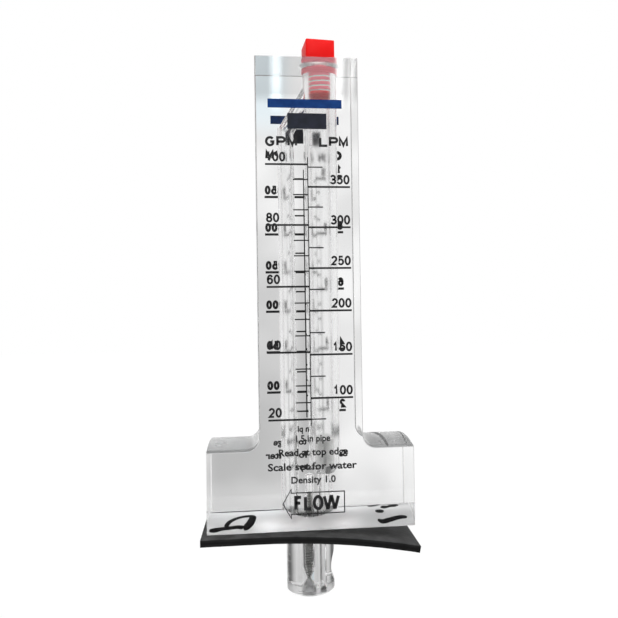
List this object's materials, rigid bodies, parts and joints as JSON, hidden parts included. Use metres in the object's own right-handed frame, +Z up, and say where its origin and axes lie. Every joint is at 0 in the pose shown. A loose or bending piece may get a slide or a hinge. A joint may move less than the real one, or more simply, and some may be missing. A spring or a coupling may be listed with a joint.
{
  "type": "pitot tube flow meter",
  "caption": "Clear acrylic flow meter on a pipe saddle: a scooped probe feeds a tapered bore in a flat tower, where a free float reads against printed scales.",
  "frame": {"origin": "middle of the saddle, at the level of its two lips and on the probe's axis", "axes": "+Z up the tower, +X upstream along the pipe, -Y towards the reader of the scale"},
  "size_m": [0.079, 0.042, 0.2121],
  "materials": {
    "clear_acrylic": "polished, clear",
    "dark_plastic": "matte",
    "steel": "polished",
    "red_plastic": "moulded, satin",
    "black_rubber": "matte"
  },
  "bodies": {
    "meter": {"meter_body": "clear_acrylic", "pitot_probe": "clear_acrylic", "passage_plug": "dark_plastic", "needle_screw": "steel", "top_plug": "red_plastic", "saddle_gasket": "black_rubber"},
    "float": {"metering_float": "steel"}
  },
  "joints": [
    {"name": "float_slide", "type": "slide", "parent": "meter", "child": "float", "axis": [0, 0, 1], "range_m": [0, 0.129]}
  ]
}
